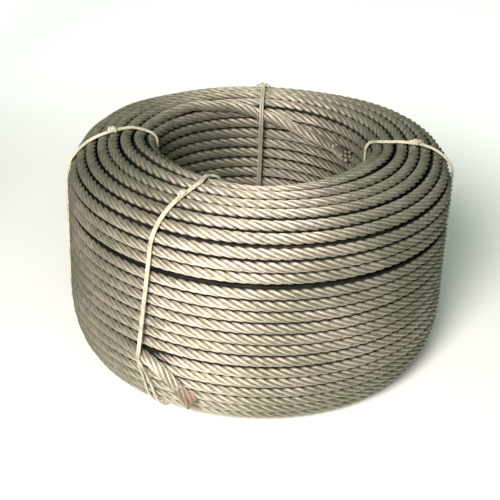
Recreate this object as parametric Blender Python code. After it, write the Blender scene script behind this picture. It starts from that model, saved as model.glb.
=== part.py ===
# Coil of galvanised wire rope, standing on its flat end, held by four twine ties.
# Metres, +Z up. The origin is the centre of the coil's base, on the floor.
# The rope is one length from end to end, so the coil is one solid with its bore. Its turns show
# as one winding ridge, and both rope ends are fused to the turns they lie on.
import math

import bmesh
import bpy
from mathutils import Vector
from mathutils.geometry import convex_hull_2d

# The rope and the package it is wound into. The shown turns, on the top and the outer wall,
# lie at this pitch. The other outermost turns share what is left of the way round evenly.
ROPE_DIAMETER = 0.010
TURN_PITCH = 0.0103
SHOWN_TURNS = 16.0
COIL_RADIUS = 0.170
BORE_RADIUS = 0.095
COIL_HEIGHT = 0.197

# Rounding of the package's section: how far each corner reaches in radius and in height.
# The top shoulder reaches in as far as the crown. From there the top falls inwards at a slope
# to the lip of the bore.
CROWN_SETBACK = 0.024
TOP_SHOULDER_DROP = 0.041
BOTTOM_SHOULDER = (0.028, 0.057)
CROWN_ROUNDING = 0.020
LIP_ROUNDING = 0.009
INNER_SLOPE = 22.0

# How a turn shows on the solid: a flat crest with a groove on both sides.
CREST_WIDTH = 0.0044
GROOVE_DEPTH = 0.0036

# Gaps in the winding: how many turns after the inner end each one opens and how wide it
# gets. It opens within a share of a turn, and its groove is deeper by so much of its width.
GAPS = [(3.60, 0.0007), (5.55, 0.0012), (8.55, 0.0041)]
GAP_OPENING = 0.4
GAP_DEEPENING = 1.2

# How finely things are stepped: the coil round its axis, the rounded corners under the ties,
# the line through the turns, and the rope ends between two of their marks.
SEGMENTS = 36
CORNER_STEPS = 11
LINE_STEPS = 400
STEPS_PER_SPAN = 2

# Twine ties: two windings side by side, with a knot on top of the coil.
TWINE_DIAMETER = 0.0021
PRESSED_THICKNESS = 0.0010
CLEARANCE = 0.0003
KNOT_SIZE = (0.0045, 0.0032, 0.0023)
# Azimuth of each tie in the bore and on the outer wall, and the share of the way between
# the two walls at which its knot sits on top.
TIES = {
    "tie_left": (168.0, -178.0, 0.49),
    "tie_front": (-107.0, -122.0, 0.57),
    "tie_back": (90.0, 90.0, 0.42),
    "tie_right": (6.0, 0.0, 0.54),
}

# The two rope ends: azimuth in degrees, steps of END_PITCH along the section, and rise over
# the coil's own turns in rope diameters. Each starts where the end leaves its turn.
# The inner end counts from the top of the bore wall, the outer end from the foot.
ROPE_SIDES = 8
KEEL_DEPTH = 0.0045
END_PITCH = 0.01045
INNER_END = [
    (176.0, -1.06, 0.00),
    (162.0, -0.98, 0.10),
    (148.0, -0.78, 0.50),
    (134.0, -0.52, 0.85),
    (119.0, -0.30, 0.96),
    (103.0, -0.20, 0.96),
    (90.0, 0.00, 0.96),
    (78.0, 0.50, 0.96),
    (66.0, 1.12, 0.96),
    (55.0, 1.46, 0.96),
    (42.0, 1.74, 0.96),
    (28.0, 1.93, 0.96),
]
OUTER_END = [
    (-140.0, 6.08, 0.00),
    (-131.0, 6.02, 0.25),
    (-124.5, 5.96, 0.60),
    (-119.5, 5.80, 0.86),
    (-116.0, 5.35, 0.95),
    (-113.0, 4.50, 0.96),
    (-110.8, 3.45, 0.96),
    (-109.2, 2.60, 0.96),
    (-108.7, 2.10, 0.96),
]

STEEL = {"color": (0.52, 0.49, 0.40, 1.0), "metallic": 0.85, "roughness": 0.45}
TWINE = {"color": (0.72, 0.69, 0.56, 1.0), "metallic": 0.0, "roughness": 0.9}


def clear_scene():
    for old in list(bpy.data.objects):
        bpy.data.objects.remove(old, do_unlink=True)


def make_material(name, look):
    material = bpy.data.materials.new(name)
    material.use_nodes = True
    shader = material.node_tree.nodes["Principled BSDF"]
    shader.inputs["Base Color"].default_value = look["color"]
    shader.inputs["Metallic"].default_value = look["metallic"]
    shader.inputs["Roughness"].default_value = look["roughness"]
    return material


def make_object(name, bm, material):
    bm.normal_update()
    bmesh.ops.recalc_face_normals(bm, faces=bm.faces)
    mesh = bpy.data.meshes.new(name)
    bm.to_mesh(mesh)
    bm.free()
    mesh.materials.append(material)
    mesh.shade_smooth()
    mesh.set_sharp_from_angle(angle=math.radians(50.0))
    made = bpy.data.objects.new(name, mesh)
    bpy.context.scene.collection.objects.link(made)
    return made


def package_corners(bore_radius):
    # Each rounding: centre in (radius, height), its two reaches, and its first and last angle.
    slope = math.radians(INNER_SLOPE)
    crown = (bore_radius + CROWN_SETBACK, COIL_HEIGHT - CROWN_ROUNDING)
    top_shoulder = (COIL_RADIUS - crown[0], TOP_SHOULDER_DROP)
    lip_radius = bore_radius + LIP_ROUNDING
    lip_drop = ((crown[0] - lip_radius) * math.sin(slope) + LIP_ROUNDING - CROWN_ROUNDING) / math.cos(slope)
    lip = (lip_radius, crown[1] - lip_drop)
    return [
        ((COIL_RADIUS - BOTTOM_SHOULDER[0], BOTTOM_SHOULDER[1]), BOTTOM_SHOULDER, -90.0, 0.0),
        ((crown[0], COIL_HEIGHT - TOP_SHOULDER_DROP), top_shoulder, 0.0, 90.0),
        (crown, (CROWN_ROUNDING, CROWN_ROUNDING), 90.0, 90.0 + INNER_SLOPE),
        (lip, (LIP_ROUNDING, LIP_ROUNDING), 90.0 + INNER_SLOPE, 180.0),
        ((lip_radius, LIP_ROUNDING), (LIP_ROUNDING, LIP_ROUNDING), 180.0, 270.0),
    ]


def package_outline(bore_radius, steps):
    # The smooth section that touches every turn, with its outward normals, all the way round.
    outline = []
    for centre, reach, first, last in package_corners(bore_radius):
        count = max(2, round(steps * (last - first) / 90.0))
        for step in range(count + 1):
            angle = math.radians(first + (last - first) * step / count)
            point = Vector((centre[0] + reach[0] * math.cos(angle), centre[1] + reach[1] * math.sin(angle)))
            normal = Vector((math.cos(angle) / reach[0], math.sin(angle) / reach[1])).normalized()
            outline.append((point, normal))
    return outline


def turn_line():
    # The line through the middle of every turn: half a rope inside the outline.
    outline = package_outline(BORE_RADIUS, LINE_STEPS)
    line = [(point - normal * ROPE_DIAMETER / 2, normal) for point, normal in outline]
    line.append(line[0])
    lengths = [0.0]
    for (before, _), (after, _) in zip(line, line[1:]):
        lengths.append(lengths[-1] + (after - before).length)
    return line, lengths


def point_on_line(line, lengths, distance, height):
    # A point at this distance along the turn line, raised by height towards the outside.
    distance = distance % lengths[-1]
    low, high = 0, len(lengths) - 1
    while high - low > 1:
        middle = (low + high) // 2
        if lengths[middle] <= distance:
            low = middle
        else:
            high = middle
    share = (distance - lengths[low]) / max(lengths[high] - lengths[low], 1e-12)
    point = line[low][0].lerp(line[high][0], share)
    normal = line[low][1].lerp(line[high][1], share).normalized()
    return point + normal * height


def bore_top(line, lengths):
    # How far along the turn line the straight wall of the bore begins.
    for (_, normal), length in zip(line, lengths):
        if normal.x < -0.99999:
            return length
    return lengths[-1]


def turn_place(turns_on, turns, start, total):
    # How far along the turn line the rope lies, this many turns on from its inner end.
    laps = math.floor(turns_on / turns)
    turns_on -= laps * turns
    other_length = total - sum(width for _, width in GAPS) - SHOWN_TURNS * TURN_PITCH
    other_turns = max(0.0, turns_on - SHOWN_TURNS)
    place = start - laps * total - TURN_PITCH * min(turns_on, SHOWN_TURNS)
    place -= other_length * other_turns / (turns - SHOWN_TURNS)
    for opens, width in GAPS:
        share = min(1.0, max(0.0, (turns_on - opens) / GAP_OPENING))
        place -= width * share * share * (3 - 2 * share)
    return place


def ridged_ring(azimuth):
    # The section at one azimuth: for each turn two points on its crest and one in the groove
    # behind it, which is deeper where the winding gapes.
    line, lengths = turn_line()
    turns = round(lengths[-1] / TURN_PITCH)
    start = bore_top(line, lengths) + INNER_END[0][1] * END_PITCH
    crest = ROPE_DIAMETER / 2
    ring = []
    for turn in range(turns):
        turns_on = turn + (azimuth - INNER_END[0][0]) / 360.0
        here = turn_place(turns_on, turns, start, lengths[-1])
        after = turn_place(turns_on + 1, turns, start, lengths[-1])
        depth = GROOVE_DEPTH + GAP_DEEPENING * max(0.0, here - after - TURN_PITCH)
        ring.append(point_on_line(line, lengths, here + CREST_WIDTH / 2, crest))
        ring.append(point_on_line(line, lengths, here - CREST_WIDTH / 2, crest))
        ring.append(point_on_line(line, lengths, (here + after) / 2, crest - depth))
    return ring


def wound_coil():
    # The rings are joined so that each turn runs on into the next after one round.
    bm = bmesh.new()
    rings = []
    for segment in range(SEGMENTS):
        azimuth = 360.0 * segment / SEGMENTS
        outward, _ = around(azimuth)
        places = [outward * point.x + Vector((0, 0, point.y)) for point in ridged_ring(azimuth)]
        rings.append([bm.verts.new(place) for place in places])
    for segment, ring in enumerate(rings):
        after = rings[(segment + 1) % SEGMENTS]
        if segment == SEGMENTS - 1:
            after = after[3:] + after[:3]
        for index in range(len(ring)):
            far = (index + 1) % len(ring)
            bm.faces.new((ring[index], ring[far], after[far], after[index]))
    return bm


def around(azimuth):
    # The two level directions at an azimuth: away from the axis, and along the turns.
    angle = math.radians(azimuth)
    return Vector((math.cos(angle), math.sin(angle), 0)), Vector((-math.sin(angle), math.cos(angle), 0))


def smooth_route(marks, steps):
    # A smooth curve through the marks, taken in azimuth, turns and rise.
    marks = [Vector(mark) for mark in marks]
    padded = [2 * marks[0] - marks[1]] + marks + [2 * marks[-1] - marks[-2]]
    route = []
    for a, b, c, d in zip(padded, padded[1:], padded[2:], padded[3:]):
        for step in range(steps):
            t = step / steps
            route.append(0.5 * (2 * b + (c - a) * t + (2 * a - 5 * b + 4 * c - d) * t ** 2
                                + (3 * b - 3 * c + d - a) * t ** 3))
    route.append(marks[-1])
    return route


def rope_end_route(marks, counted_from):
    # Points along a rope end, each with the direction away from the coil.
    line, lengths = turn_line()
    route = []
    for azimuth, turns, rise in smooth_route(marks, STEPS_PER_SPAN):
        outward, _ = around(azimuth)
        distance = counted_from + turns * END_PITCH
        low = point_on_line(line, lengths, distance, 0.0)
        high = point_on_line(line, lengths, distance, rise * ROPE_DIAMETER)
        top = point_on_line(line, lengths, distance, ROPE_DIAMETER)
        away = (top - low).normalized()
        route.append((outward * high.x + Vector((0, 0, high.y)), outward * away.x + Vector((0, 0, away.y))))
    return route


def rope_end_routes():
    line, lengths = turn_line()
    return {
        "inner_end": rope_end_route(INNER_END, bore_top(line, lengths)),
        "outer_end": rope_end_route(OUTER_END, 0.0),
    }


def rope_end(name, route, material):
    # A round bar with a keel that fills the grooves of the turns it lies on.
    bm = bmesh.new()
    rings = []
    points = [point for point, _ in route]
    for index, (point, away) in enumerate(route):
        ahead = points[min(index + 1, len(points) - 1)] - points[max(index - 1, 0)]
        ahead.normalize()
        across = (away - ahead * away.dot(ahead)).normalized()
        beside = ahead.cross(across)
        ring = []
        for side in range(ROPE_SIDES):
            angle = math.tau * (side + 0.5) / ROPE_SIDES
            spot = point + ROPE_DIAMETER / 2 * (across * math.cos(angle) + beside * math.sin(angle))
            if math.cos(angle) < -0.8:
                spot -= across * KEEL_DEPTH
            ring.append(bm.verts.new(spot))
        rings.append(ring)
    for ring, after in zip(rings, rings[1:]):
        for side in range(ROPE_SIDES):
            far = (side + 1) % ROPE_SIDES
            bm.faces.new((ring[side], ring[far], after[far], after[side]))
    bm.faces.new(rings[0])
    bm.faces.new(rings[-1])
    return make_object(name, bm, material)


def add_boolean(target, cutter, operation):
    modifier = target.modifiers.new(operation.lower() + "_" + cutter.name, "BOOLEAN")
    modifier.operation = operation
    modifier.solver = "EXACT"
    modifier.object = cutter
    cutter.hide_render = True
    cutter.display_type = "WIRE"


def tie_plane(bore_azimuth, wall_azimuth):
    # The upright plane of a tie: its level direction, the one across it, and how far it
    # passes from the axis.
    in_bore = around(bore_azimuth)[0] * BORE_RADIUS
    on_wall = around(wall_azimuth)[0] * COIL_RADIUS
    along = (on_wall - in_bore).normalized()
    across = Vector((-along.y, along.x, 0))
    return along, across, in_bore.dot(across)


def tie_slot(name, plane, material):
    # The room that the pressed twines take up under the lowest turns.
    along, across, offset = plane
    width = 2 * TWINE_DIAMETER + 2 * CLEARANCE
    height = 2 * (PRESSED_THICKNESS + 2 * CLEARANCE)
    inner = BORE_RADIUS / 2
    outer = COIL_RADIUS + ROPE_DIAMETER
    bm = bmesh.new()
    bmesh.ops.create_cube(bm, size=1.0)
    for vert in bm.verts:
        reach = (inner + outer) / 2 + vert.co.x * (outer - inner)
        vert.co = along * reach + across * (offset + vert.co.y * width) + Vector((0, 0, vert.co.z * height))
    return make_object(name, bm, material)


def wire_rope(material):
    coil = make_object("wire_rope", wound_coil(), material)
    for name, route in rope_end_routes().items():
        add_boolean(coil, rope_end(name, route, material), "UNION")
    for name, (bore_azimuth, wall_azimuth, _) in TIES.items():
        plane = tie_plane(bore_azimuth, wall_azimuth)
        add_boolean(coil, tie_slot(name + "_slot", plane, material), "DIFFERENCE")
    return coil


def rope_end_crossings(plane):
    # Where the rope ends pass through a tie's plane and its two sides, as (along, height).
    along, across, offset = plane
    crossings = []
    for route in rope_end_routes().values():
        for side in (-TWINE_DIAMETER, 0.0, TWINE_DIAMETER):
            for (before, away), (after, _) in zip(route, route[1:]):
                start = before.dot(across) - offset - side
                end = after.dot(across) - offset - side
                if start * end <= 0 and before.dot(along) > 0:
                    spot = before.lerp(after, start / (start - end))
                    crossings.append(Vector((spot.dot(along), spot.z)))
    return crossings


def circle_points(centre, radius, count):
    angles = [math.tau * step / count for step in range(count)]
    return [centre + Vector((math.cos(angle), math.sin(angle))) * radius for angle in angles]


def taut_loop(plane):
    # The tightest loop round the section and round a rope end lying on it: for each point
    # its place, the direction away from the coil, and whether the floor presses it flat.
    along, across, offset = plane
    faceted_bore = BORE_RADIUS * math.cos(math.pi / SEGMENTS)
    points = []
    for point, _ in package_outline(faceted_bore, CORNER_STEPS):
        points.append(Vector((math.sqrt(point.x ** 2 - offset ** 2), point.y)))
    for crossing in rope_end_crossings(plane):
        points += circle_points(crossing, ROPE_DIAMETER / 2 + CLEARANCE, 2 * CORNER_STEPS)
    loop = [points[index] for index in convex_hull_2d(points)]
    lift = CLEARANCE + TWINE_DIAMETER / 2
    raised = []
    for before, point, after in zip(loop[-1:] + loop[:-1], loop, loop[1:] + loop[:1]):
        along_in = (point - before).normalized()
        along_out = (after - point).normalized()
        normal = Vector((along_in.y + along_out.y, -along_in.x - along_out.x)).normalized()
        corner = max(normal.dot(Vector((along_in.y, -along_in.x))), 0.5)
        level = along * point.x + across * offset
        radial = level.normalized()
        away = (radial * normal.x / radial.dot(along) + Vector((0, 0, normal.y))).normalized()
        place = level + Vector((0, 0, point.y)) + away * lift / corner
        pressed = place.z < PRESSED_THICKNESS / 2
        if pressed:
            place = level + Vector((0, 0, PRESSED_THICKNESS / 2))
            away = Vector((0, 0, -1))
        raised.append((place, away, pressed))
    return raised


def twine_pair(half_height):
    # The section of two windings side by side: offsets across the tie and away from the coil.
    width = TWINE_DIAMETER
    return [
        (-width, 0.0), (-0.7 * width, -half_height), (-0.3 * width, -half_height),
        (0.0, -0.5 * half_height), (0.3 * width, -half_height), (0.7 * width, -half_height),
        (width, 0.0), (0.7 * width, half_height), (0.3 * width, half_height),
        (0.0, 0.5 * half_height), (-0.3 * width, half_height), (-0.7 * width, half_height),
    ]


def twine_tie(name, plane, knot_share, material):
    loop = taut_loop(plane)
    bm = bmesh.new()
    rings = []
    for index, (place, away, pressed) in enumerate(loop):
        before = loop[index - 1][0]
        after = loop[(index + 1) % len(loop)][0]
        ahead = (after - before).normalized()
        beside = ahead.cross(away).normalized()
        half_height = (PRESSED_THICKNESS if pressed else TWINE_DIAMETER) / 2
        section = twine_pair(half_height)
        rings.append([bm.verts.new(place + beside * side + away * up) for side, up in section])
    sides = len(rings[0])
    for ring, after in zip(rings, rings[1:] + rings[:1]):
        for side in range(sides):
            far = (side + 1) % sides
            bm.faces.new((ring[side], ring[far], after[far], after[side]))
    tie = make_object(name, bm, material)
    add_boolean(tie, knot(name + "_knot", loop, knot_share, material), "UNION")
    return tie


def knot(name, loop, share, material):
    # A rounded knot on the topmost stretch of the loop, at its share of the way across.
    distance = BORE_RADIUS + share * (COIL_RADIUS - BORE_RADIUS)
    for (before, away, _), (after, _, _) in zip(loop, loop[1:] + loop[:1]):
        inner, outer = before.xy.length, after.xy.length
        over_top = min(before.z, after.z) > COIL_HEIGHT / 2
        if over_top and (inner - distance) * (outer - distance) <= 0:
            place = before.lerp(after, (distance - inner) / (outer - inner))
            ahead = (after - before).normalized()
            up = (away - ahead * away.dot(ahead)).normalized()
    beside = ahead.cross(up)
    place += up * (KNOT_SIZE[2] - TWINE_DIAMETER / 2)
    bm = bmesh.new()
    bmesh.ops.create_icosphere(bm, subdivisions=2, radius=1.0)
    for vert in bm.verts:
        local = vert.co.copy()
        vert.co = (place + ahead * local.x * KNOT_SIZE[0] + beside * local.y * KNOT_SIZE[1]
                   + up * local.z * KNOT_SIZE[2])
    return make_object(name, bm, material)


def main():
    clear_scene()
    steel = make_material("galvanised_steel", STEEL)
    twine = make_material("twine", TWINE)
    wire_rope(steel)
    for name, (bore_azimuth, wall_azimuth, knot_share) in TIES.items():
        twine_tie(name, tie_plane(bore_azimuth, wall_azimuth), knot_share, twine)


main()
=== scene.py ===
import math

import bpy
import numpy as np
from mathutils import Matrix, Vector
from mathutils.geometry import convex_hull_2d


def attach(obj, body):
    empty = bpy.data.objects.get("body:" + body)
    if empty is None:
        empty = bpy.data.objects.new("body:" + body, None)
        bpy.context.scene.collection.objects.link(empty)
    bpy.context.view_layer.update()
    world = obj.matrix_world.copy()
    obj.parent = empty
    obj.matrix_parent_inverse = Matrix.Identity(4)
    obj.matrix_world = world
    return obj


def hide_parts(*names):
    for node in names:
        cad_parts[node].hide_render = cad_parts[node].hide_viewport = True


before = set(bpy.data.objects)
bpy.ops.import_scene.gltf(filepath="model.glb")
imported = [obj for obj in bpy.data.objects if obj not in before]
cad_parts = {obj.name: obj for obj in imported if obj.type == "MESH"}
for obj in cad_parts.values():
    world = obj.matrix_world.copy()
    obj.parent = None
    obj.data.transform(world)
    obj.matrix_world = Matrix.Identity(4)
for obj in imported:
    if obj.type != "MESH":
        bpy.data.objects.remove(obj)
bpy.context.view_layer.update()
print("frame loaded")

# the coil's own sizes, in metres
coil = {
    "radius": 0.170,
    "bore": 0.095,
    "height": 0.197,
    "topShoulder": (0.051, 0.041),
    "footShoulder": (0.028, 0.057),
    "crownRound": 0.020,
    "lipRound": 0.009,
    "innerSlope": 22.0,          # degrees that the top falls by towards the bore
    "ropeDiameter": 0.010,
    "layLength": 0.054,
    "strands": 6,
}
ropeRadius = coil["ropeDiameter"] / 2
sectionSteps = 200               # points on each of the five roundings of the coil's section


def clearSelection():
    if bpy.context.object and bpy.context.object.mode != "OBJECT":
        bpy.ops.object.mode_set(mode="OBJECT")
    bpy.ops.object.select_all(action="DESELECT")


def pick(piece):
    clearSelection()
    bpy.context.view_layer.objects.active = piece
    piece.select_set(True)


def sectionRoundings():
    # centre, reach and angles of each rounding, from the foot over the top to the bore and back
    slope = math.radians(coil["innerSlope"])
    crown = (coil["radius"] - coil["topShoulder"][0], coil["height"] - coil["crownRound"])
    lipRadius = coil["bore"] + coil["lipRound"]
    fall = (crown[0] - lipRadius) * math.sin(slope) + coil["lipRound"] - coil["crownRound"]
    drop = fall / math.cos(slope)
    foot = coil["footShoulder"]
    top = coil["topShoulder"]
    crownReach = (coil["crownRound"], coil["crownRound"])
    lipReach = (coil["lipRound"], coil["lipRound"])
    return [
        ((coil["radius"] - foot[0], foot[1]), foot, -90.0, 0.0),
        ((crown[0], coil["height"] - top[1]), top, 0.0, 90.0),
        (crown, crownReach, 90.0, 90.0 + coil["innerSlope"]),
        ((lipRadius, crown[1] - drop), lipReach, 90.0 + coil["innerSlope"], 180.0),
        ((lipRadius, coil["lipRound"]), lipReach, 180.0, 270.0),
    ]


def sectionOutline(steps):
    places, normals = [], []
    for centre, reach, first, last in sectionRoundings():
        angle = np.radians(np.linspace(first, last, steps))
        place = [centre[0] + reach[0] * np.cos(angle), centre[1] + reach[1] * np.sin(angle)]
        places.append(np.stack(place, 1))
        normal = np.stack([np.cos(angle) / reach[0], np.sin(angle) / reach[1]], 1)
        normals.append(normal / np.linalg.norm(normal, axis=1)[:, None])
    places, normals = np.concatenate(places), np.concatenate(normals)
    return np.vstack([places, places[:1]]), np.vstack([normals, normals[:1]])


def lengthsAlong(line):
    # how far along a line in the section's plane each of its points lies
    return np.concatenate([[0.0], np.cumsum(np.hypot(*np.diff(line, axis=0).T))])


outline, outlineNormals = sectionOutline(sectionSteps)
turnLine = outline - outlineNormals * ropeRadius
lineLengths = lengthsAlong(turnLine)
lineTotal = lineLengths[-1]
shoulderMiddle = lineLengths[sectionSteps * 3 // 2]
crownMiddle = lineLengths[sectionSteps * 5 // 2]
boreTop = lineLengths[sectionSteps * 4 - 1]      # where the straight wall of the bore begins


def onSection(distance, lift=0.0):
    # radius and height at this distance along the line through the turns
    distance = np.mod(distance, lineTotal)
    normal = np.stack([np.interp(distance, lineLengths, outlineNormals[:, axis]) for axis in (0, 1)], -1)
    normal /= np.linalg.norm(normal, axis=-1)[..., None]
    place = np.stack([np.interp(distance, lineLengths, turnLine[:, axis]) for axis in (0, 1)], -1)
    return place + normal * np.asarray(lift)[..., None], normal


def around(azimuth, section):
    angle = np.radians(azimuth)
    return np.stack([section[..., 0] * np.cos(angle), section[..., 0] * np.sin(angle), section[..., 1]], -1)


def smoothed(values, width):
    window = np.hanning(2 * width + 1)
    before = 2 * values[0] - values[width:0:-1]
    after = 2 * values[-1] - values[-2:-width - 2:-1]
    return np.convolve(np.concatenate([before, values, after]), window / window.sum(), mode="valid")


def softStep(value):
    value = np.clip(value, 0.0, 1.0)
    return value * value * (3 - 2 * value)


# the upper run goes from the inner end out over the top and down the wall to the outer end
# the lower run goes on below it, under the coil and up the bore
winding = {
    "pitch": 0.0103,             # of the turns on the top and the outer wall
    "shownTurns": 16,
    "turns": 45,                 # in the outermost layer, all the way round the section
    "gaps": ((3.60, 0.0007), (5.55, 0.0012), (8.55, 0.0041)),    # turns from the inner end, width
    "opening": 0.4,              # turns over which a gap opens
    "marksPitch": 0.01045,       # the turns that the rope ends' marks count in
    "innerMarks": [              # azimuth, turns past the top of the bore wall, rise in diameters
        (28.0, 1.93, 0.96), (42.0, 1.74, 0.96), (55.0, 1.46, 0.96), (66.0, 1.12, 0.96),
        (78.0, 0.50, 0.96), (90.0, 0.00, 0.96), (103.0, -0.20, 0.96), (119.0, -0.30, 0.96),
        (134.0, -0.52, 0.85), (148.0, -0.78, 0.50), (162.0, -0.98, 0.10), (176.0, -1.06, 0.0),
    ],
    "outerMarks": [              # azimuth, turns above the foot, rise in diameters
        (-140.0, 6.08, 0.0), (-132.0, 6.05, 0.08), (-126.0, 6.00, 0.36), (-121.5, 5.90, 0.68),
        (-118.0, 5.64, 0.88), (-115.0, 5.20, 0.95), (-112.0, 4.45, 0.96), (-109.2, 3.55, 0.96),
        (-107.2, 2.90, 0.97), (-106.0, 2.45, 0.98),
    ],
    "innerOnTop": 135,           # degrees of the rope at each end that lie on other turns
    "outerOnTop": 26,
    "wander": 0.00022,           # how far a turn strays from its even place
    "waves": ((0.37, 1.0), (0.81, 0.7), (1.63, 0.5), (3.1, 0.35)),    # how often, and how much of it
    "phases": (1.7, 9.1),        # what sets the waves of a run, and of a rate, apart
    "settles": 0.25,             # turns at each end of the upper run over which it stops straying
    "marksStep": 3.0,            # degrees between the places that a run is worked out at
    "guideStep": 1.0,            # degrees between the points of its guide
    "smoothing": 6,              # guide points to each side that a place is smoothed over
}
lowerRun = {
    "starts": 10.0,              # degrees past the place where the outer end leaves the turns
    "sunk": 0.0075,              # how far both of its ends lie below the other turns
    "comesUp": 20.0,             # degrees
    "goesDown": 18.0,
}
# how far the turns stand off the even section, and where, in metres along the line through them
crowded = {
    "lipRise": (                 # azimuth, how far the turns at the lip crowd up and inwards
        (-150, 0.0088), (-130, 0.0078), (-110, 0.0050), (-90, 0.0036), (-60, 0.0046), (-30, 0.0058),
        (-10, 0.0034), (6, 0.0006), (30, 0.0), (90, 0.0), (150, 0.0), (172, 0.0), (190, 0.0055),
    ),
    "lipBefore": 0.008,          # from the highest turn there to the straight wall of the bore
    "lipGrows": 0.030,
    "lipHolds": 0.006,
    "lipFades": 0.045,
    "shoulderRise": (            # azimuth, how far the turns at the top shoulder stand further out
        (-150, 0.0), (-28, 0.0), (-6, 0.0028), (8, 0.0056), (20, 0.0056), (32, 0.0060), (46, 0.0038),
        (66, 0.0010), (80, 0.0), (125, 0.0), (145, 0.0026), (162, 0.0022), (178, 0.0),
    ),
    "shoulderFades": 0.048,      # to both sides of its middle
    "crownDrop": 0.2,            # the share of the shoulder's rise that the crown sinks by
    "crownFades": 0.040,
}


def atAzimuth(table, azimuth):
    azimuths, values = np.array(table).T
    first = azimuths[0]
    azimuths, values = np.append(azimuths, first + 360), np.append(values, values[0])
    return np.interp(np.mod(azimuth - first, 360) + first, azimuths, values)


def crowding(azimuth, place):
    # how far the turns stand off the even section, at the lip of the bore and round the crown
    place = np.mod(place, lineTotal)
    pastLip = place - (boreTop - crowded["lipBefore"])
    atLip = softStep((pastLip + crowded["lipGrows"]) / crowded["lipGrows"])
    atLip = atLip * (1 - softStep((pastLip - crowded["lipHolds"]) / crowded["lipFades"]))
    atShoulder = softStep(1 - np.abs(place - shoulderMiddle) / crowded["shoulderFades"])
    atCrown = softStep(1 - np.abs(place - crownMiddle) / crowded["crownFades"])
    atShoulder = atShoulder - crowded["crownDrop"] * atCrown
    lipRise = atAzimuth(crowded["lipRise"], azimuth) * atLip
    return lipRise + atAzimuth(crowded["shoulderRise"], azimuth) * atShoulder


def turnPlace(turnsOn):
    # how far along the section's line the rope lies, this many turns on from its inner end
    shown = winding["shownTurns"]
    start = boreTop + winding["innerMarks"][-1][1] * winding["marksPitch"]
    other = lineTotal - sum(width for _, width in winding["gaps"]) - shown * winding["pitch"]
    place = start - winding["pitch"] * np.minimum(turnsOn, shown)
    place -= other * np.maximum(0, turnsOn - shown) / (winding["turns"] - shown)
    for opens, width in winding["gaps"]:
        place -= width * softStep((turnsOn - opens) / winding["opening"])
    return place


def wanderAt(azimuth, run):
    runPhase, ratePhase = winding["phases"]
    total = 0
    for rate, share in winding["waves"]:
        total = total + share * np.sin(np.radians(azimuth) * rate + run * runPhase + rate * ratePhase)
    return winding["wander"] * total


def evenly(azimuth, place, lift):
    # points of the guide at even steps of azimuth, smoothed
    fine = np.arange(azimuth[0], azimuth[-1], winding["guideStep"])
    places = smoothed(np.interp(fine, azimuth, place), winding["smoothing"])
    lifts = smoothed(np.interp(fine, azimuth, lift) + crowding(fine, places), winding["smoothing"])
    section, _ = onSection(places, lifts)
    return around(fine, section)


def onTurns():
    # azimuths where the rope comes down from its inner end, and where its outer end leaves
    lands, leaves = winding["innerMarks"][-1][0], winding["outerMarks"][0][0]
    return lands, leaves + 360.0 * (winding["shownTurns"] + 1)


def upperRoute():
    inner, outer = np.array(winding["innerMarks"]), np.array(winding["outerMarks"])
    lands, leaves = onTurns()
    azimuth = np.arange(lands, leaves, winding["marksStep"])
    turn = (azimuth - lands) / 360.0
    fade = np.minimum(1.0, np.minimum(turn, turn[-1] - turn) / winding["settles"])
    place = turnPlace(turn) + wanderAt(azimuth, 1.0) * fade
    pitch = winding["marksPitch"]
    allAzimuths = np.concatenate([inner[:-1, 0], azimuth, outer[:, 0] + leaves - outer[0, 0]])
    allPlaces = np.concatenate([boreTop + inner[:-1, 1] * pitch, place, outer[:, 1] * pitch])
    allRises = np.concatenate([inner[:-1, 2], np.zeros(len(azimuth)), outer[:, 2]])
    return evenly(allAzimuths, allPlaces, allRises * coil["ropeDiameter"])


def lowerRoute():
    # it comes out from under the outer end and goes in under the inner end
    lands, leaves = onTurns()
    first = leaves + lowerRun["starts"]
    last = lands + 360.0 * winding["turns"]
    azimuth = np.arange(first, last, winding["marksStep"])
    place = turnPlace((azimuth - lands) / 360.0) + wanderAt(azimuth, 4.0)
    lift = -lowerRun["sunk"] * (1 - softStep((azimuth - first) / lowerRun["comesUp"]))
    lift -= lowerRun["sunk"] * softStep((azimuth - last + lowerRun["goesDown"]) / lowerRun["goesDown"])
    return evenly(azimuth, place, lift)


def guideCurve(name, points, twist="Z_UP"):
    data = bpy.data.curves.new(name, "CURVE")
    data.dimensions = "3D"
    data.twist_mode = twist
    spline = data.splines.new("POLY")
    spline.points.add(len(points) - 1)
    spline.points.foreach_set("co", np.hstack([points, np.ones((len(points), 1))]).astype(np.float32).ravel())
    guide = bpy.data.objects.new(name, data)
    bpy.context.scene.collection.objects.link(guide)
    return guide


def routeLength(points):
    return float(np.linalg.norm(np.diff(points, axis=0), axis=1).sum())


upperPoints, lowerPoints = upperRoute(), lowerRoute()
print("upper run %.2f m, lower run %.2f m" % (routeLength(upperPoints), routeLength(lowerPoints)))


def newMaterial(name):
    material = bpy.data.materials.new(name)
    material.use_nodes = True
    return material, material.node_tree, material.node_tree.nodes["Principled BSDF"]


def addNode(tree, kind, place, **settings):
    node = tree.nodes.new(kind)
    node.location = place
    for key, value in settings.items():
        setattr(node, key, value)
    return node


def mathNode(tree, operation, place, first, second=None, third=None):
    node = addNode(tree, "ShaderNodeMath", place, operation=operation)
    for index, source in enumerate((first, second, third)):
        if source is None:
            continue
        if isinstance(source, (int, float)):
            node.inputs[index].default_value = source
        else:
            tree.links.new(source, node.inputs[index])
    return node.outputs[0]


def mixColour(tree, place, factor, first, second):
    node = addNode(tree, "ShaderNodeMix", place, data_type="RGBA")
    for socket, source in ((node.inputs[0], factor), (node.inputs[6], first), (node.inputs[7], second)):
        if isinstance(source, tuple):
            socket.default_value = (*source, 1.0)
        else:
            tree.links.new(source, socket)
    return node.outputs[2]


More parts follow.
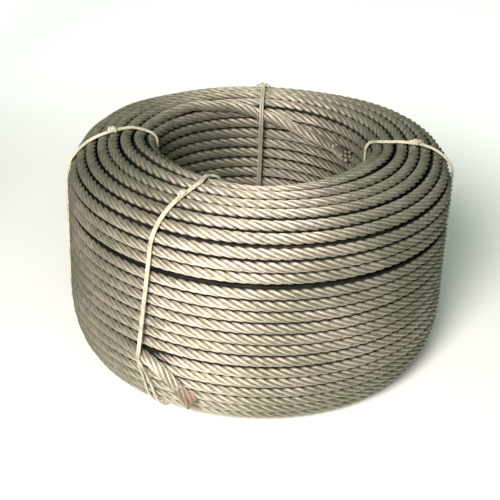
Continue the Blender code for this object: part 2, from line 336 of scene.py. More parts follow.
def rampNode(tree, place, source, low, high):
    node = addNode(tree, "ShaderNodeMapRange", place, interpolation_type="SMOOTHSTEP")
    tree.links.new(source, node.inputs[0])
    node.inputs[1].default_value = low
    node.inputs[2].default_value = high
    return node.outputs[0]


def noiseNode(tree, place, vector, scale, detail):
    node = addNode(tree, "ShaderNodeTexNoise", place)
    tree.links.new(vector, node.inputs["Vector"])
    node.inputs["Scale"].default_value = scale
    node.inputs["Detail"].default_value = detail
    node.inputs["Roughness"].default_value = 0.55
    return node.outputs["Fac"]


def splitNode(tree, place, vector):
    node = addNode(tree, "ShaderNodeSeparateXYZ", place)
    tree.links.new(vector, node.inputs[0])
    return node.outputs


def pointValue(tree, place, name):
    return addNode(tree, "ShaderNodeAttribute", place, attribute_name=name).outputs["Fac"]


def fromMiddle(tree, place, count):
    # how far a place round the rope lies from the middle of its strand, yarn or wire, 0.5 at its edge
    part = mathNode(tree, "FRACT", place, count)
    beside = mathNode(tree, "SUBTRACT", (place[0] + 100, place[1]), part, 0.5)
    return mathNode(tree, "ABSOLUTE", (place[0] + 200, place[1]), beside)


def addBump(tree, shader, place, height, strength, distance):
    bump = addNode(tree, "ShaderNodeBump", place)
    bump.inputs["Strength"].default_value = strength
    bump.inputs["Distance"].default_value = distance
    tree.links.new(height, bump.inputs["Height"])
    tree.links.new(bump.outputs[0], shader.inputs["Normal"])


# a pair of numbers is where an effect begins and where it is full
steelLook = {
    "bright": (0.74, 0.655, 0.57),
    "dull": (0.52, 0.475, 0.385),
    "olive": (0.24, 0.27, 0.18),
    "shaded": (0.10, 0.12, 0.075),
    "rust": (0.50, 0.33, 0.24),
    # the near-black of the strand grooves and the gaps between turns: partly real grease, partly painted shade
    "greaseAndShade": (0.014, 0.014, 0.010),
    "patchScale": 14.0,
    "patches": (0.38, 0.66),
    "stainScale": 160.0,
    "stains": (0.45, 0.75),
    "stained": 0.55,             # how olive the stains are
    "speckScale": 900.0,
    "rustSpecks": (0.30, 0.62),
    "wires": 18.0,               # seen round the rope, three to a strand
    "wireSlant": 2.0,            # wires that they turn by in one lay
    "wireLine": (0.30, 0.50),    # from a wire's middle towards its edge
    "wireDark": 0.62,
    "groove": (0.27, 0.50),      # from a strand's middle towards its edge
    "grooveDark": 0.74,
    "depth": (0.58, 0.16),       # from a turn's crest, at 1, down between the turns
    "foot": (0.060, 0.010),      # height over which the coil's foot turns olive
    "footOlive": 0.5,
    "inBore": 0.42,              # how much painted shade darkens the turns in the bore
    "metallic": 0.84,
    "rough": 0.60,               # round the rope; along its wires it is much smoother
    "stainRough": 0.16,
    "dirtRough": 0.3,
    "alongWires": 0.70,
    "mirror": 0.2,
    "bump": 0.6,
    "wireBump": 0.00022,
    "wireRound": -1.6,
    "speckBump": 0.25,
}


def steelMaterial():
    material, tree, shader = newMaterial("ropeSteel")
    where = addNode(tree, "ShaderNodeTexCoord", (-1800, 0))
    patches = noiseNode(tree, (-1400, 300), where.outputs["Object"], steelLook["patchScale"], 4.0)
    stains = noiseNode(tree, (-1400, 100), where.outputs["Object"], steelLook["stainScale"], 3.0)
    specks = noiseNode(tree, (-1400, -100), where.outputs["Object"], steelLook["speckScale"], 2.0)
    # u counts round the rope along its strands, and v along one lay
    laid = splitNode(tree, (-1600, -400), where.outputs["UV"])
    strands = mathNode(tree, "MULTIPLY", (-1400, -300), laid[0], float(coil["strands"]))
    strandEdge = fromMiddle(tree, (-1300, -300), strands)
    straight = mathNode(tree, "MULTIPLY", (-1500, -500), laid[0], steelLook["wires"])
    slant = mathNode(tree, "MULTIPLY", (-1500, -650), laid[1], steelLook["wireSlant"])
    wires = mathNode(tree, "ADD", (-1400, -500), straight, slant)
    wireEdge = fromMiddle(tree, (-1300, -500), wires)
    wireLine = rampNode(tree, (-850, -500), wireEdge, *steelLook["wireLine"])
    groove = rampNode(tree, (-850, -300), strandEdge, *steelLook["groove"])
    # painted shade, with some grease, in the grooves between the strands
    groove = mathNode(tree, "MULTIPLY", (-700, -300), groove, steelLook["grooveDark"])
    # painted shade, with some grease, down in the gaps between the turns
    depth = rampNode(tree, (-1200, -800), pointValue(tree, (-1400, -800), "seat"), *steelLook["depth"])
    shadeAndGrease = mathNode(tree, "MAXIMUM", (-600, -200), groove, depth)

    dull = rampNode(tree, (-1200, 300), patches, *steelLook["patches"])
    colour = mixColour(tree, (-1000, 300), dull, steelLook["bright"], steelLook["dull"])
    stained = rampNode(tree, (-1200, 100), stains, *steelLook["stains"])
    stained = mathNode(tree, "MULTIPLY", (-1000, 100), stained, steelLook["stained"])
    colour = mixColour(tree, (-800, 300), stained, colour, steelLook["olive"])
    # painted shade in the lines between the wires
    wireDark = mathNode(tree, "MULTIPLY", (-700, 0), wireLine, steelLook["wireDark"])
    colour = mixColour(tree, (-700, 300), wireDark, colour, steelLook["shaded"])
    height = splitNode(tree, (-1000, 600), where.outputs["Object"])[2]
    foot = rampNode(tree, (-850, 600), height, *steelLook["foot"])
    foot = mathNode(tree, "MULTIPLY", (-700, 600), foot, steelLook["footOlive"])
    colour = mixColour(tree, (-600, 400), foot, colour, steelLook["olive"])
    rusty = rampNode(tree, (-700, 850), specks, *steelLook["rustSpecks"])
    rusty = mathNode(tree, "MULTIPLY", (-550, 700), pointValue(tree, (-700, 700), "cut"), rusty)
    colour = mixColour(tree, (-500, 400), rusty, colour, steelLook["rust"])
    # painted shade on the turns in the bore
    inBore = pointValue(tree, (-700, 500), "inside")
    inBore = mathNode(tree, "MULTIPLY", (-550, 500), inBore, steelLook["inBore"])
    colour = mixColour(tree, (-400, 300), inBore, colour, steelLook["shaded"])
    # the grooves and the gaps between turns go near-black: partly grease, partly painted shade
    colour = mixColour(tree, (-300, 300), shadeAndGrease, colour, steelLook["greaseAndShade"])
    tree.links.new(colour, shader.inputs["Base Color"])

    rough = mathNode(tree, "MULTIPLY_ADD", (-1000, -100), stains, steelLook["stainRough"], steelLook["rough"])
    rough = mathNode(tree, "MULTIPLY_ADD", (-400, -100), shadeAndGrease, steelLook["dirtRough"], rough)
    tree.links.new(rough, shader.inputs["Roughness"])
    metallic = steelLook["metallic"]
    metal = mathNode(tree, "MULTIPLY_ADD", (-400, -250), shadeAndGrease, -metallic, metallic)
    tree.links.new(metal, shader.inputs["Metallic"])
    relief = mathNode(tree, "MULTIPLY", (-850, -700), specks, steelLook["speckBump"])
    relief = mathNode(tree, "MULTIPLY_ADD", (-700, -700), wireEdge, steelLook["wireRound"], relief)
    addBump(tree, shader, (-250, -400), relief, steelLook["bump"], steelLook["wireBump"])
    roundRope = addNode(tree, "ShaderNodeTangent", (-250, -600), direction_type="UV_MAP", uv_map="laid")
    tree.links.new(roundRope.outputs[0], shader.inputs["Tangent"])
    shader.inputs["Anisotropic"].default_value = steelLook["alongWires"]
    shader.inputs["Specular IOR Level"].default_value = steelLook["mirror"]
    return material


# the near-black of the inner turns is painted shade
innerLook = {
    "dark": (0.010, 0.011, 0.009),
    "light": (0.035, 0.036, 0.028),
    "scale": 60.0,
    "patches": (0.4, 0.7),
    "rough": 0.7,
    "metallic": 0.3,
}


def darkMaterial():
    material, tree, shader = newMaterial("shadedInnerSteel")
    where = addNode(tree, "ShaderNodeTexCoord", (-900, 0))
    patches = noiseNode(tree, (-700, 0), where.outputs["Object"], innerLook["scale"], 3.0)
    light = rampNode(tree, (-550, 0), patches, *innerLook["patches"])
    colour = mixColour(tree, (-400, 0), light, innerLook["dark"], innerLook["light"])
    tree.links.new(colour, shader.inputs["Base Color"])
    shader.inputs["Roughness"].default_value = innerLook["rough"]
    shader.inputs["Metallic"].default_value = innerLook["metallic"]
    return material


twineLook = {
    "cream": (0.66, 0.62, 0.49),
    "worn": (0.33, 0.34, 0.25),
    # the colour of the painted shade in the grooves between the yarns
    "groove": (0.10, 0.10, 0.07),
    "shaded": (0.15, 0.165, 0.11),
    "patchScale": 60.0,
    "patches": (0.45, 0.7),
    "fluffScale": 1800.0,
    "fluff": (0.5, 0.8),
    "fluffWorn": 0.35,
    "yarns": 3.0,
    "grooves": (0.34, 0.52),     # from a yarn's middle towards its edge
    "grooveDark": 0.8,
    # how much painted shade darkens the twine in the bore
    "inBore": 0.75,
    "rough": 0.9,
    "sheen": 0.3,
    "bump": 0.5,
    "fluffBump": 0.0003,
}


def twineMaterial():
    material, tree, shader = newMaterial("twineCotton")
    where = addNode(tree, "ShaderNodeTexCoord", (-1400, 0))
    patches = noiseNode(tree, (-1200, 200), where.outputs["Object"], twineLook["patchScale"], 3.0)
    fluff = noiseNode(tree, (-1200, 0), where.outputs["Object"], twineLook["fluffScale"], 2.0)
    laid = splitNode(tree, (-1200, -300), where.outputs["UV"])
    yarns = mathNode(tree, "MULTIPLY", (-1100, -300), laid[0], twineLook["yarns"])
    groove = rampNode(tree, (-650, -300), fromMiddle(tree, (-1000, -300), yarns), *twineLook["grooves"])
    worn = rampNode(tree, (-900, 200), patches, *twineLook["patches"])
    colour = mixColour(tree, (-700, 200), worn, twineLook["cream"], twineLook["worn"])
    fluffy = rampNode(tree, (-800, 0), fluff, *twineLook["fluff"])
    fluffy = mathNode(tree, "MULTIPLY", (-600, 0), fluffy, twineLook["fluffWorn"])
    colour = mixColour(tree, (-500, 200), fluffy, colour, twineLook["worn"])
    # painted shade in the grooves between the yarns
    groove = mathNode(tree, "MULTIPLY", (-500, -200), groove, twineLook["grooveDark"])
    colour = mixColour(tree, (-300, 200), groove, colour, twineLook["groove"])
    # painted shade on the twine in the bore
    inBore = pointValue(tree, (-400, 500), "inside")
    inBore = mathNode(tree, "MULTIPLY", (-300, 500), inBore, twineLook["inBore"])
    colour = mixColour(tree, (-200, 300), inBore, colour, twineLook["shaded"])
    tree.links.new(colour, shader.inputs["Base Color"])
    addBump(tree, shader, (-250, -300), fluff, twineLook["bump"], twineLook["fluffBump"])
    shader.inputs["Roughness"].default_value = twineLook["rough"]
    shader.inputs["Sheen Weight"].default_value = twineLook["sheen"]
    return material


ropeSteel = steelMaterial()
shadedInnerSteel = darkMaterial()
twineCotton = twineMaterial()
print("materials made")


# one lay of rope, modelled once and repeated along the guides
ropeUnit = {
    "radius": ropeRadius,
    "lay": coil["layLength"],
    "points": 30,                # round it, five for each strand
    "steps": 12,                 # along it
    "factors": (0.577, 0.896, 0.989, 0.989, 0.896),
    "seam": 0.00005,             # within which one lay's end merges with the next one's start
    "laysPerPiece": 250,
}


def layUnit(name, made):
    points, steps = made["points"], made["steps"]
    clearSelection()
    bpy.ops.mesh.primitive_circle_add(vertices=points, radius=made["radius"], fill_type="NOTHING",
                                      location=(0, 0, 0), rotation=(0, math.pi / 2, 0))
    unit = bpy.context.object
    unit.name = name
    bpy.ops.object.transform_apply(location=True, rotation=True, scale=True)
    for vertex in unit.data.vertices:
        vertex.co *= made["factors"][vertex.index % len(made["factors"])]
    screw = unit.modifiers.new("lay", "SCREW")
    screw.axis = "X"
    screw.angle = 2 * math.pi
    screw.screw_offset = made["lay"]
    screw.steps = steps
    screw.render_steps = steps
    screw.use_smooth_shade = True
    bpy.ops.object.modifier_apply(modifier="lay")
    # u counts round the rope along its strands, and v along one lay
    mesh = unit.data
    while mesh.uv_layers:
        mesh.uv_layers.remove(mesh.uv_layers[0])
    ofLoop = np.empty(len(mesh.loops), int)
    mesh.loops.foreach_get("vertex_index", ofLoop)
    uv = np.stack([ofLoop % points / points, ofLoop // points / steps], 1)
    starts = np.empty(len(mesh.polygons), int)
    mesh.polygons.foreach_get("loop_start", starts)
    for start in starts:
        corners = slice(start, start + 4)
        if np.ptp(uv[corners, 0]) > 0.5:
            uv[corners, 0] += uv[corners, 0] < 0.5
    layer = mesh.uv_layers.new(name="laid")
    layer.data.foreach_set("uv", uv.astype(np.float32).ravel())
    return unit


def wind(name, unit, guide, lay, lays, first, stretch):
    # this many lays along the guide, from the length first on
    clearSelection()
    piece = unit.copy()
    piece.data = unit.data.copy()
    piece.name = name
    bpy.context.scene.collection.objects.link(piece)
    pick(piece)
    for vertex in piece.data.vertices:
        vertex.co.x = vertex.co.x * stretch + first
    row = piece.modifiers.new("row", "ARRAY")
    row.count = lays
    row.use_relative_offset = False
    row.use_constant_offset = True
    row.constant_offset_displace = (lay * stretch, 0, 0)
    row.use_merge_vertices = True
    row.merge_threshold = ropeUnit["seam"]
    bpy.ops.object.modifier_apply(modifier="row")
    bend = piece.modifiers.new("bend", "CURVE")
    bend.object = guide
    bend.deform_axis = "POS_X"
    bpy.ops.object.modifier_apply(modifier="bend")
    bpy.ops.object.mode_set(mode="EDIT")
    bpy.ops.mesh.select_mode(type="VERT")
    bpy.ops.mesh.select_all(action="DESELECT")
    bpy.ops.mesh.select_non_manifold()
    bpy.ops.mesh.fill_holes(sides=0)
    bpy.ops.mesh.select_all(action="SELECT")
    bpy.ops.mesh.normals_make_consistent(inside=False)
    bpy.ops.object.mode_set(mode="OBJECT")
    return piece


def markPoints(piece, name, values):
    layer = piece.data.attributes.new(name, "FLOAT", "POINT")
    layer.data.foreach_set("value", np.asarray(values, np.float32))


def pointPlaces(piece):
    places = np.empty(len(piece.data.vertices) * 3)
    piece.data.vertices.foreach_get("co", places)
    return places.reshape(-1, 3)


boreShade = {
    "edge": 0.112,               # radius where it begins
    "fade": 0.012,
    "topFade": 0.030,            # height below the coil's top by which it is full
}


def markInside(piece):
    # where the bore is painted in shade: 1 in the bore, and 0 at its lip and everywhere else
    places = pointPlaces(piece)
    inwards = (boreShade["edge"] - np.hypot(places[:, 0], places[:, 1])) / boreShade["fade"]
    down = (coil["height"] - places[:, 2]) / boreShade["topFade"]
    markPoints(piece, "inside", np.clip(inwards, 0, 1) * np.clip(down, 0, 1))


seatSearch = {"samples": 700, "batch": 20000}    # places on the line, and points looked at together


def markSeat(piece):
    # how far each point stands out of the line through the turns, 0 on it and 1 at a turn's crest
    places = pointPlaces(piece)
    spot = np.stack([np.hypot(places[:, 0], places[:, 1]), places[:, 2]], 1)
    along = np.linspace(0, lineTotal, seatSearch["samples"])
    line, normal = onSection(along)
    out = np.empty(len(spot))
    for start in range(0, len(spot), seatSearch["batch"]):
        batch = slice(start, start + seatSearch["batch"])
        part = spot[batch]
        near = ((part[:, None, :] - line[None]) ** 2).sum(-1).argmin(1)
        azimuth = np.degrees(np.arctan2(places[batch, 1], places[batch, 0]))
        out[batch] = ((part - line[near]) * normal[near]).sum(1) - crowding(azimuth, along[near])
    markPoints(piece, "seat", np.clip(out / ropeRadius, 0, 1.5))
    markInside(piece)


def windRun(runName, guide, laidFrom, total, lay):
    # one run of the rope, in pieces of at most so many lays
    pieces = []
    parts = math.ceil(total / ropeUnit["laysPerPiece"])
    for part in range(parts):
        start = total * part // parts
        end = total * (part + 1) // parts
        piece = wind("%s_turns_%d" % (runName, part + 1), rope, guide, coil["layLength"], end - start,
                     laidFrom + start * lay, lay / coil["layLength"])
        markSeat(piece)
        piece.data.materials.append(ropeSteel)
        pieces.append(piece)
        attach(piece, "root")
        print("wound", piece.name, end - start, "lays", len(piece.data.polygons), "faces")
    return pieces


rope = layUnit("ropeLay", ropeUnit)
upperGuide = guideCurve("upperGuide", upperPoints)
lowerGuide = guideCurve("lowerGuide", lowerPoints)
freeEnd = 0.017                  # of the rope at both of its ends
upperLaid = routeLength(upperPoints) - 2 * freeEnd
upperLays = round(upperLaid / coil["layLength"])
upperLay = upperLaid / upperLays
lowerLays = int(routeLength(lowerPoints) / coil["layLength"])
ropePieces = windRun("upper", upperGuide, freeEnd, upperLays, upperLay)
ropePieces += windRun("lower", lowerGuide, 0.0, lowerLays, coil["layLength"])
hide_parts("wire_rope")
bpy.data.objects.remove(rope)


# the cut ends of the rope, where its six strands and its core stand a little apart
strandUnit = {
    "radius": 0.00168,
    "lay": 0.030,
    "points": 18,                # six wires a strand, three points each
    "steps": 8,
    "factors": (0.80, 0.99, 0.97),
}
freeEnds = {
    "layRadius": 0.00333,        # from the rope's middle to a strand's middle
    "overlap": 0.004,            # how far they go into the laid rope
    "loosened": 0.016,
    "loosening": 1.5,            # 1 for straight strands, more for strands that bend out at the tip
    "spread": 0.0012,
    "uneven": (0.5, 2.6),        # by how much one strand stands out more than its neighbour
    "tipsBack": (0.0002, 0.0013),    # the longest strand's tip, and how much shorter the others are
    "points": 48,
    "rusted": 0.022,
    "rustFull": 1.6,
}


def strandRoute(points, strand, joint, tip):
    lengths = np.concatenate([[0.0], np.cumsum(np.linalg.norm(np.diff(points, axis=0), axis=1))])
    at = np.linspace(min(joint, tip), max(joint, tip), freeEnds["points"])
    middle = np.stack([np.interp(at, lengths, points[:, axis]) for axis in range(3)], 1)
    ahead = np.gradient(middle, axis=0)
    ahead /= np.linalg.norm(ahead, axis=1)[:, None]
    up = np.array([0, 0, 1]) - ahead * ahead[:, 2:]
    up /= np.linalg.norm(up, axis=1)[:, None]
    side = np.cross(up, ahead)
    loose = np.clip(1 - np.abs(at - tip) / freeEnds["loosened"], 0, 1) ** freeEnds["loosening"]
    turn = 2 * np.pi * ((strand + 0.5) / coil["strands"] + (at - freeEnd) / upperLay)
    more, apart = freeEnds["uneven"]
    reach = freeEnds["layRadius"] + freeEnds["spread"] * loose * (1 + more * math.sin(strand * apart))
    if strand == coil["strands"]:
        reach = reach * 0        # the core
    return middle + reach[:, None] * (side * np.sin(turn)[:, None] - up * np.cos(turn)[:, None])


def joinPieces(name, pieces):
    pick(pieces[0])
    for piece in pieces:
        piece.select_set(True)
    bpy.ops.object.join()
    joined = bpy.context.object
    joined.name = name
    return joined


def laidAlong(name, unit, route, lay):
    # a whole number of lays along a short route of its own
    guide = guideCurve(name + "Guide", route, "MINIMUM")
    lays = max(1, round(routeLength(route) / lay))
    piece = wind(name, unit, guide, lay, lays, 0.0, routeLength(route) / (lays * lay))
    bpy.data.objects.remove(guide)
    return piece


def modelFreeEnd(name, unit, points, joint, tip, rust):
    pieces = []
    least, more = freeEnds["tipsBack"]
    core = coil["strands"]
    for strand in range(core + 1):
        back = math.copysign(least + more * (strand * 3 % (core + 1)) / core, joint - tip)
        route = strandRoute(points, strand, joint, tip + back)
        pieces.append(laidAlong("%s_%d" % (name, strand), unit, route, strandUnit["lay"]))
    piece = joinPieces(name, pieces)
    places = pointPlaces(piece)
    tipPlace = points[0] if tip < joint else points[-1]
    near = 1 - np.linalg.norm(places - tipPlace, axis=1) / freeEnds["rusted"]
    markPoints(piece, "seat", np.ones(len(near)))
    markPoints(piece, "cut", np.clip(near * freeEnds["rustFull"], 0, 1) * rust)
    markInside(piece)
    piece.data.materials.append(ropeSteel)
    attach(piece, "root")
    print(name, len(piece.data.polygons), "faces")


strandLay = layUnit("strandLay", strandUnit)
modelFreeEnd("inner_end", strandLay, upperPoints, freeEnd + freeEnds["overlap"], 0.0, 0.2)
modelFreeEnd("outer_end", strandLay, upperPoints, freeEnd + upperLaid - freeEnds["overlap"],
             routeLength(upperPoints), 1.0)
bpy.data.objects.remove(strandLay)


# the four ties: twisted twine wound twice round the coil and knotted on top
twine = {
    "radius": 0.00105,
    "lay": 0.0075,
    "points": 12,                # three yarns, four points each
    "steps": 6,
    "factors": (0.76, 0.96, 1.0, 0.96),
    "gap": 0.0003,               # to the turns
    "leanFade": 0.020,           # how far out of the bore the sideways lean is full
    "foot": 0.062,               # below this height the windings part, but only on the outer wall
    "footFade": 0.04,
    "wall": 0.110,
    "wallFade": 0.02,
    "loopPoints": 420,
}
knot = {
    "size": (0.00120, 0.00090, 0.0014),
    "lift": 0.0016,
    "points": 72,
}
tail = {
    "points": 12,
    "bend": 0.7,
    "start": 0.001,
    "hump": 0.0009,
    "drop": 0.001,
}
# azimuths in the bore and on the wall, the knot's share of the way across the top, how far the
# twine leans sideways at each height, how far its windings part at the foot, and the two tails
ties = {
    "tie_left": {"bore": 171.0, "wall": -178.0, "knot": 0.49, "split": 0.0002,
                 "lean": ((0.0, 0.0), (0.150, 0.0), (0.185, 0.005), (0.2, 0.005)),
                 "tails": ((0.006, 0.7), (0.008, -2.3))},
    "tie_front": {"bore": -112.0, "wall": -122.0, "knot": 0.57, "split": 0.0036,
                  "lean": ((0.0, -0.0015), (0.030, 0.0012), (0.057, -0.0003), (0.156, 0.0065), (0.2, 0.0076)),
                  "tails": ((0.007, 2.4), (0.005, -0.9))},
    "tie_back": {"bore": 90.0, "wall": 90.0, "knot": 0.42, "split": 0.0004,
                 "lean": ((0.0, 0.001), (0.2, -0.001)), "tails": ((0.006, 1.2), (0.007, -1.9))},
    "tie_right": {"bore": 6.0, "wall": 5.0, "knot": 0.54, "split": 0.0003,
                  "lean": ((0.0, 0.0), (0.150, 0.0), (0.185, -0.019), (0.2, -0.019)),
                  "tails": ((0.007, 1.9), (0.006, -0.6))},
}


def leanAt(tie, place, height):
    heights, shifts = np.array(tie["lean"]).T
    return np.interp(height, heights, shifts) * softStep((place - coil["bore"]) / twine["leanFade"])


def towards(azimuth):
    angle = math.radians(azimuth)
    return Vector((math.cos(angle), math.sin(angle), 0))


def tieFrame(tie):
    inBore = towards(tie["bore"]) * coil["bore"]
    onWall = towards(tie["wall"]) * coil["radius"]
    along = (onWall - inBore).normalized()
    across = Vector((-along.y, along.x, 0))
    return np.array(along), np.array(across), inBore.dot(across)


def tautLoop(tie):
    # the tightest loop round the section, and round a rope end that lies on it
    along, across, offset = tieFrame(tie)
    lift = twine["radius"] + twine["gap"]
    shifted = offset + leanAt(tie, outline[:, 0], outline[:, 1])
    level = np.arctan2(along[1], along[0]) + np.arcsin(shifted / outline[:, 0])
    rise = crowding(np.degrees(level), lineLengths)
    spots = outline + outlineNormals * (lift + rise)[:, None]
    spots = np.stack([np.sqrt(spots[:, 0] ** 2 - shifted ** 2), spots[:, 1]], 1)
    circle = np.radians(np.arange(0, 360, 12))
    ring = np.stack([np.cos(circle), np.sin(circle)], 1) * (ropeRadius + lift)
    for points in (upperPoints[:winding["innerOnTop"]], upperPoints[-winding["outerOnTop"]:]):
        ahead = points @ along
        for side in (-2, 0, 2):      # the two edges and the middle of the pair of windings
            beside = points @ across - offset - leanAt(tie, ahead, points[:, 2]) - side * twine["radius"]
            for index in np.nonzero(beside[:-1] * beside[1:] <= 0)[0]:
                if ahead[index] > 0:
                    spots = np.vstack([spots, ring + [ahead[index], points[index, 2]]])
    loop = spots[convex_hull_2d([tuple(spot) for spot in spots])]
    # it starts under its knot
    crossed = coil["bore"] + tie["knot"] * (coil["radius"] - coil["bore"])
    onTop = np.where(loop[:, 1] > coil["height"] / 2, np.hypot(loop[:, 0], offset), np.inf)
    loop = np.roll(loop, -int(np.abs(onTop - crossed).argmin()), axis=0)
    loop = np.vstack([loop, loop[:1]])
    lengths = lengthsAlong(loop)
    at = np.linspace(0, lengths[-1], twine["loopPoints"])
    return np.stack([np.interp(at, lengths, loop[:, axis]) for axis in (0, 1)], 1)


def tiePlaces(tie, loop, side):
    along, across, offset = tieFrame(tie)
    height = np.maximum(loop[:, 1], twine["radius"])
    parted = softStep((twine["foot"] - height) / twine["footFade"])
    parted = parted * softStep((loop[:, 0] - twine["wall"]) / twine["wallFade"])
    shift = leanAt(tie, loop[:, 0], height) + side * (twine["radius"] + tie["split"] * parted)
    places = loop[:, :1] * along + (offset + shift)[:, None] * across
    places[:, 2] = height
    return places


def modelTie(name, tie, unit):
    loop = tautLoop(tie)
    windings = [tiePlaces(tie, loop, side) for side in (-1, 1)]
    middle = tiePlaces(tie, loop, 0)
    ahead = Vector(middle[3] - middle[-4]).normalized()
    beside = Vector(tieFrame(tie)[1])
    away = ahead.cross(beside)
    if away.z < 0:
        away = -away
    ahead, beside, away = np.array(ahead), np.array(beside), np.array(away)
    turn = np.linspace(0, 2 * np.pi, knot["points"])
    size = knot["size"]
    over = middle[0] + np.outer((np.sin(turn) + 2 * np.sin(2 * turn)) * size[0], ahead)
    over += np.outer((np.cos(turn) - 2 * np.cos(2 * turn)) * size[1], beside)
    over += np.outer(knot["lift"] - np.sin(3 * turn) * size[2], away)
    pieces = [laidAlong(name + "_a", unit, windings[0], twine["lay"]),
              laidAlong(name + "_b", unit, windings[1], twine["lay"]),
              laidAlong(name + "_c", unit, over, twine["lay"])]
    for length, heading in tie["tails"]:
        way = np.linspace(0, 1, tail["points"])
        bent = heading + tail["bend"] * way
        route = middle[0] + np.outer(np.cos(bent) * way * length + tail["start"] * np.cos(heading), ahead)
        route += np.outer(np.sin(bent) * way * length, beside)
        hump = knot["lift"] + tail["hump"] * np.sin(way * np.pi) - tail["drop"] * way ** 2
        route += np.outer(hump, away)
        pieces.append(laidAlong(name + "_tail", unit, route, twine["lay"]))
    piece = joinPieces(name + "_twine", pieces)
    markInside(piece)
    piece.data.materials.append(twineCotton)
    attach(piece, "root")
    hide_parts(name)
    print(name, len(piece.data.polygons), "faces")


twineLay = layUnit("twineLay", twine)
for tieName, tieSettings in ties.items():
    modelTie(tieName, tieSettings, twineLay)
bpy.data.objects.remove(twineLay)


# inner turns, seen only as darkness between the outer ones; their near-black is painted shade
innerTurns = {
    "depth": 0.0087,             # below the outer turns
    "rings": 44,
    "perRing": 6,
    "around": 96,
    "seam": 0.00001,
}


def modelInnerTurns():
    count = innerTurns["rings"] * innerTurns["perRing"]
    clearSelection()
    bpy.ops.mesh.primitive_circle_add(vertices=count, radius=coil["bore"], fill_type="NOTHING",
                                      location=(0, 0, 0))
    piece = bpy.context.object
    piece.name = "inner_turns"
    share = np.arange(count) / count
    ridge = np.abs(np.sin(share * innerTurns["rings"] * math.pi))
    lift = ropeRadius * (ridge - 1) + ropeRadius - innerTurns["depth"]
    section, _ = onSection(share * lineTotal, lift)
    for vertex, (radius, height) in zip(piece.data.vertices, section):
        vertex.co = (radius, 0, height)
    bpy.ops.object.mode_set(mode="EDIT")
    bpy.ops.mesh.select_all(action="SELECT")
    bpy.ops.mesh.spin(steps=innerTurns["around"], angle=2 * math.pi, center=(0, 0, 0), axis=(0, 0, 1))
    bpy.ops.mesh.select_all(action="SELECT")
    bpy.ops.mesh.remove_doubles(threshold=innerTurns["seam"])
    bpy.ops.mesh.normals_make_consistent(inside=False)
    bpy.ops.object.mode_set(mode="OBJECT")
    bpy.ops.object.shade_smooth()
    piece.data.materials.append(shadedInnerSteel)
    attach(piece, "root")
    print("inner turns", len(piece.data.polygons), "faces")


modelInnerTurns()


floorLook = {
    "size": 12,
    "below": 0.0005,
    "colour": (0.93, 0.93, 0.93),
    "rough": 0.9,
    "glow": (0.22, 0.9),         # how far out it begins to glow, and glows fully
    "glowNear": 0.12,
    "glowMore": 0.55,
}


def paleMaterial():
    # the floor glows further out, so that the backdrop stays white
    material, tree, shader = newMaterial("paleFloor")
    shader.inputs["Base Color"].default_value = (*floorLook["colour"], 1)
    shader.inputs["Roughness"].default_value = floorLook["rough"]
    where = addNode(tree, "ShaderNodeTexCoord", (-800, 0))
    reach = addNode(tree, "ShaderNodeVectorMath", (-600, 0), operation="LENGTH")
    tree.links.new(where.outputs["Object"], reach.inputs[0])
    glow = rampNode(tree, (-400, 0), reach.outputs["Value"], *floorLook["glow"])
    glow = mathNode(tree, "MULTIPLY_ADD", (-200, 0), glow, floorLook["glowMore"], floorLook["glowNear"])
    shader.inputs["Emission Color"].default_value = (1, 1, 1, 1)
    tree.links.new(glow, shader.inputs["Emission Strength"])
    return material


clearSelection()
bpy.ops.mesh.primitive_plane_add(size=floorLook["size"], location=(0, 0, -floorLook["below"]))
floor = bpy.context.object
floor.name = "floor"
floor.data.materials.append(paleMaterial())


# two dark cards, out of this camera's sight, keep the floor's light off the coil's sides
# they hide the coil from a camera that stands behind them, at its sides or back corners
flags = {
    "rightFlag": {"place": (0.37, -0.15, 0.26), "width": 0.8, "height": 0.52},
    "leftFlag": {"place": (-0.44, 0.10, 0.26), "width": 0.9, "height": 0.52},
}
flagLook = {"colour": (0.015, 0.06, 0.03), "rough": 0.9}


def standFlag(name, card):
    clearSelection()
    bpy.ops.mesh.primitive_plane_add(size=1, location=(0, 0, 0))
    flag = bpy.context.object
    flag.name = name
    flag.scale = (card["width"], card["height"], 1)
    flag.rotation_euler = (math.pi / 2, 0, math.pi / 2)
    flag.location = card["place"]
    bpy.ops.object.transform_apply(location=True, rotation=True, scale=True)
    material, _, shader = newMaterial(name)
    shader.inputs["Base Color"].default_value = (*flagLook["colour"], 1)
    shader.inputs["Roughness"].default_value = flagLook["rough"]
    flag.data.materials.append(material)


for flagName, flagSettings in flags.items():
    standFlag(flagName, flagSettings)


lights = {
    "keyLight": {"place": (-0.50, -1.75, 1.28), "target": (0, 0, 0.08), "size": 0.75, "power": 74,
                 "colour": (1.0, 0.915, 0.86)},
    "topLight": {"place": (0.1, -0.9, 2.1), "target": (0, 0, 0.1), "size": 0.9, "power": 6,
                 "colour": (1.0, 0.98, 0.94)},
}


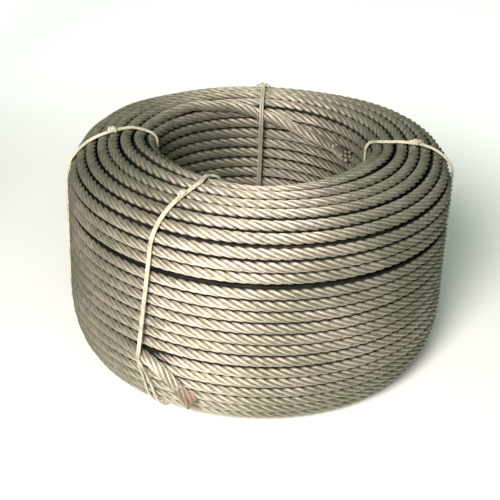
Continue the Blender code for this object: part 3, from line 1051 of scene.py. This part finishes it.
def softLight(name, lamp):
    data = bpy.data.lights.new(name, "AREA")
    data.shape = "DISK"
    data.size = lamp["size"]
    data.energy = lamp["power"]
    data.color = lamp["colour"]
    light = bpy.data.objects.new(name, data)
    light.location = lamp["place"]
    light.rotation_euler = (Vector(lamp["target"]) - Vector(lamp["place"])).to_track_quat("-Z", "Y").to_euler()
    bpy.context.scene.collection.objects.link(light)


for lightName, lightSettings in lights.items():
    softLight(lightName, lightSettings)
bpy.context.scene.view_settings.view_transform = "Standard"

studioLook = {"colour": (0.28, 1.0, 0.48), "strength": 0.13}
world = bpy.data.worlds.new("studio")
bpy.context.scene.world = world
world.use_nodes = True
backdrop = world.node_tree.nodes["Background"]
backdrop.inputs["Color"].default_value = (*studioLook["colour"], 1)
backdrop.inputs["Strength"].default_value = studioLook["strength"]

# degrees and metres, with the focal length in pixels of the picture
view = {
    "elevation": 27.1,
    "roll": 2.0,
    "distance": 1.150,
    "aimX": -0.0063,
    "aimZ": 0.0845,
    "focal": 1250.5,
    "picture": 500,
    "sensor": 36,                # millimetres
}


def placeCamera():
    tilt = math.radians(view["elevation"])
    back = Vector((0, -math.cos(tilt), math.sin(tilt)))
    right = Vector((1, 0, 0))
    up = back.cross(right)
    turn = math.radians(view["roll"])
    rolledRight = right * math.cos(turn) + up * math.sin(turn)
    rolledUp = up * math.cos(turn) - right * math.sin(turn)
    data = bpy.data.cameras.new("camera")
    data.sensor_width = view["sensor"]
    data.lens = view["focal"] / view["picture"] * view["sensor"]
    camera = bpy.data.objects.new("camera", data)
    place = Vector((view["aimX"], 0, view["aimZ"])) + back * view["distance"]
    matrix = camera.matrix_world.copy()
    for row in range(3):
        matrix[row][0] = rolledRight[row]
        matrix[row][1] = rolledUp[row]
        matrix[row][2] = back[row]
        matrix[row][3] = place[row]
    camera.matrix_world = matrix
    bpy.context.scene.collection.objects.link(camera)
    bpy.context.scene.camera = camera


placeCamera()
bpy.data.objects.remove(upperGuide)
bpy.data.objects.remove(lowerGuide)
